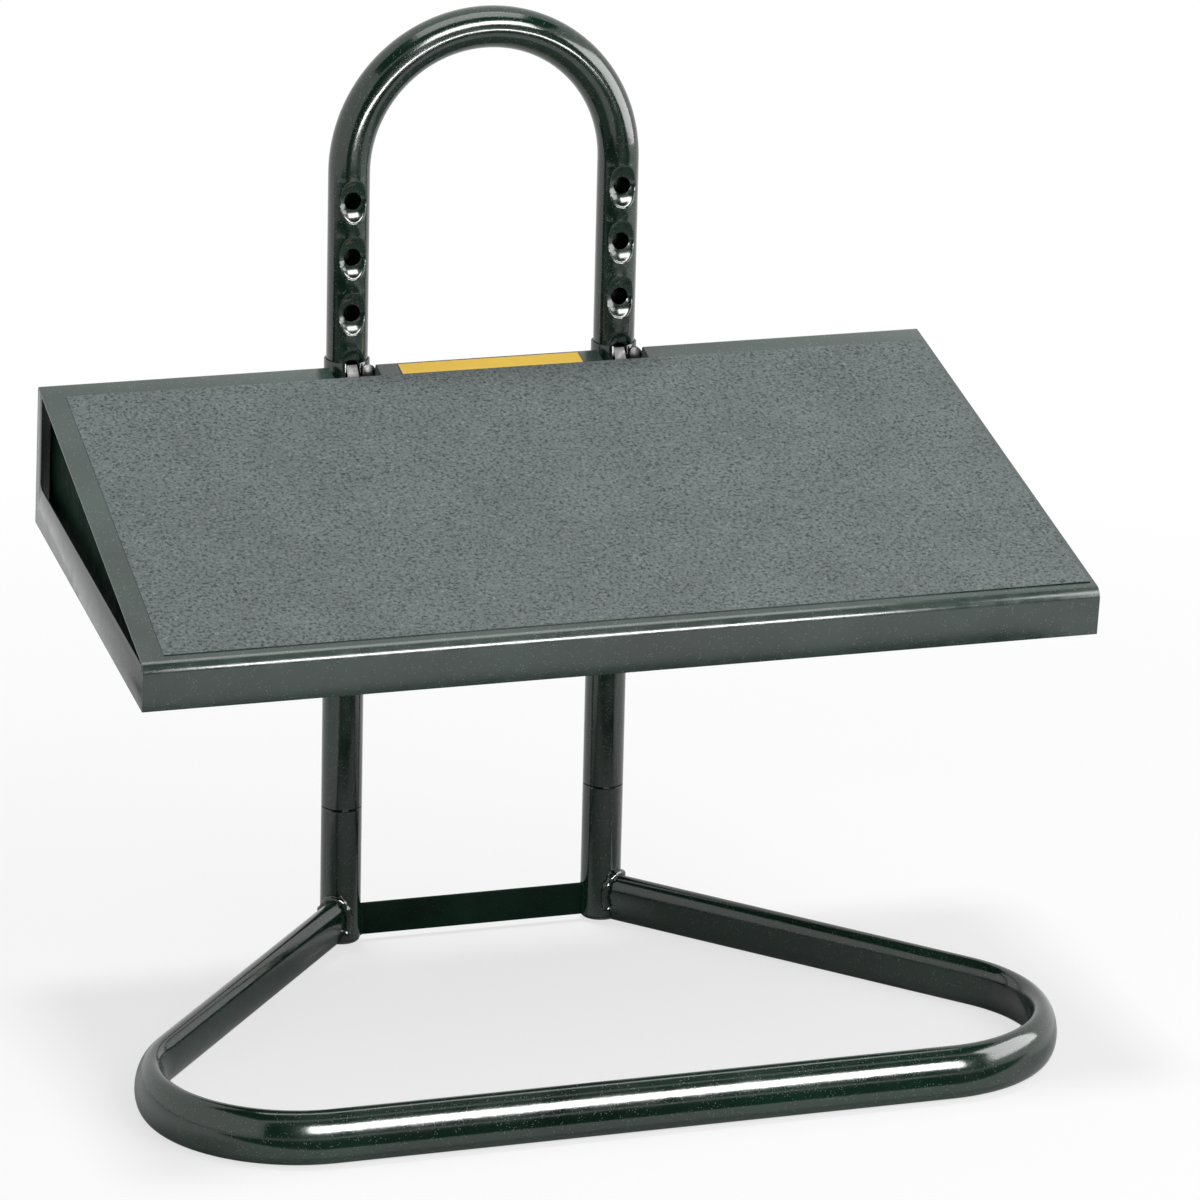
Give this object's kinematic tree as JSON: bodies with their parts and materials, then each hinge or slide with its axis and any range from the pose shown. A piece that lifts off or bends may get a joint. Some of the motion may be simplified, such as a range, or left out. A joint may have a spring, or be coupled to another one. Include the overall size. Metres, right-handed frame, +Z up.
{
  "type": "footrest",
  "caption": "Under-desk footrest: a folded steel platform with a grit top tilts on collars that slide up and down an arched tube stand.",
  "frame": {"origin": "centre of the box's bottom face, on the floor under the part", "axes": "+X to the user's right, +Y to the back (towards the posts), +Z up"},
  "size_m": [0.5828, 0.369, 0.5928],
  "materials": {
    "tube_paint": "gloss",
    "deck_paint": "semi-gloss",
    "grit": "coarse grit",
    "yellow_strip": "satin",
    "plated_steel": "plated",
    "black_plastic": "matte"
  },
  "bodies": {
    "frame": {"base_loop": "tube_paint", "base_crossbar": "tube_paint", "arch_tube": "tube_paint", "left_post_socket": "tube_paint", "right_post_socket": "tube_paint", "left_socket_plug": "black_plastic", "right_socket_plug": "black_plastic", "left_leg_weld": "tube_paint", "right_leg_weld": "tube_paint"},
    "carriage": {"carriage_tie_bar": "tube_paint", "left_post_collar": "tube_paint", "right_post_collar": "tube_paint", "left_spring_catch": "plated_steel", "right_spring_catch": "plated_steel", "left_outer_pin": "plated_steel", "left_inner_pin": "plated_steel", "right_inner_pin": "plated_steel", "right_outer_pin": "plated_steel"},
    "platform": {"platform_deck": "deck_paint", "left_side_flange": "deck_paint", "right_side_flange": "deck_paint", "left_end_rib": "deck_paint", "right_end_rib": "deck_paint", "left_outer_ear": "deck_paint", "left_inner_ear": "deck_paint", "right_inner_ear": "deck_paint", "right_outer_ear": "deck_paint", "left_stop_strap": "deck_paint", "right_stop_strap": "deck_paint", "grit_sheet": "grit", "marking_strip": "yellow_strip"}
  },
  "joints": [
    {"name": "height_adjust", "type": "slide", "parent": "frame", "child": "carriage", "axis": [0, 0, 1], "range_m": [-0.0698, 0.1047]},
    {"name": "platform_tilt", "type": "hinge", "parent": "carriage", "child": "platform", "pos_m": [0, 0.17046, 0.366], "axis": [-1, 0, 0], "range_deg": [0, 15]}
  ]
}
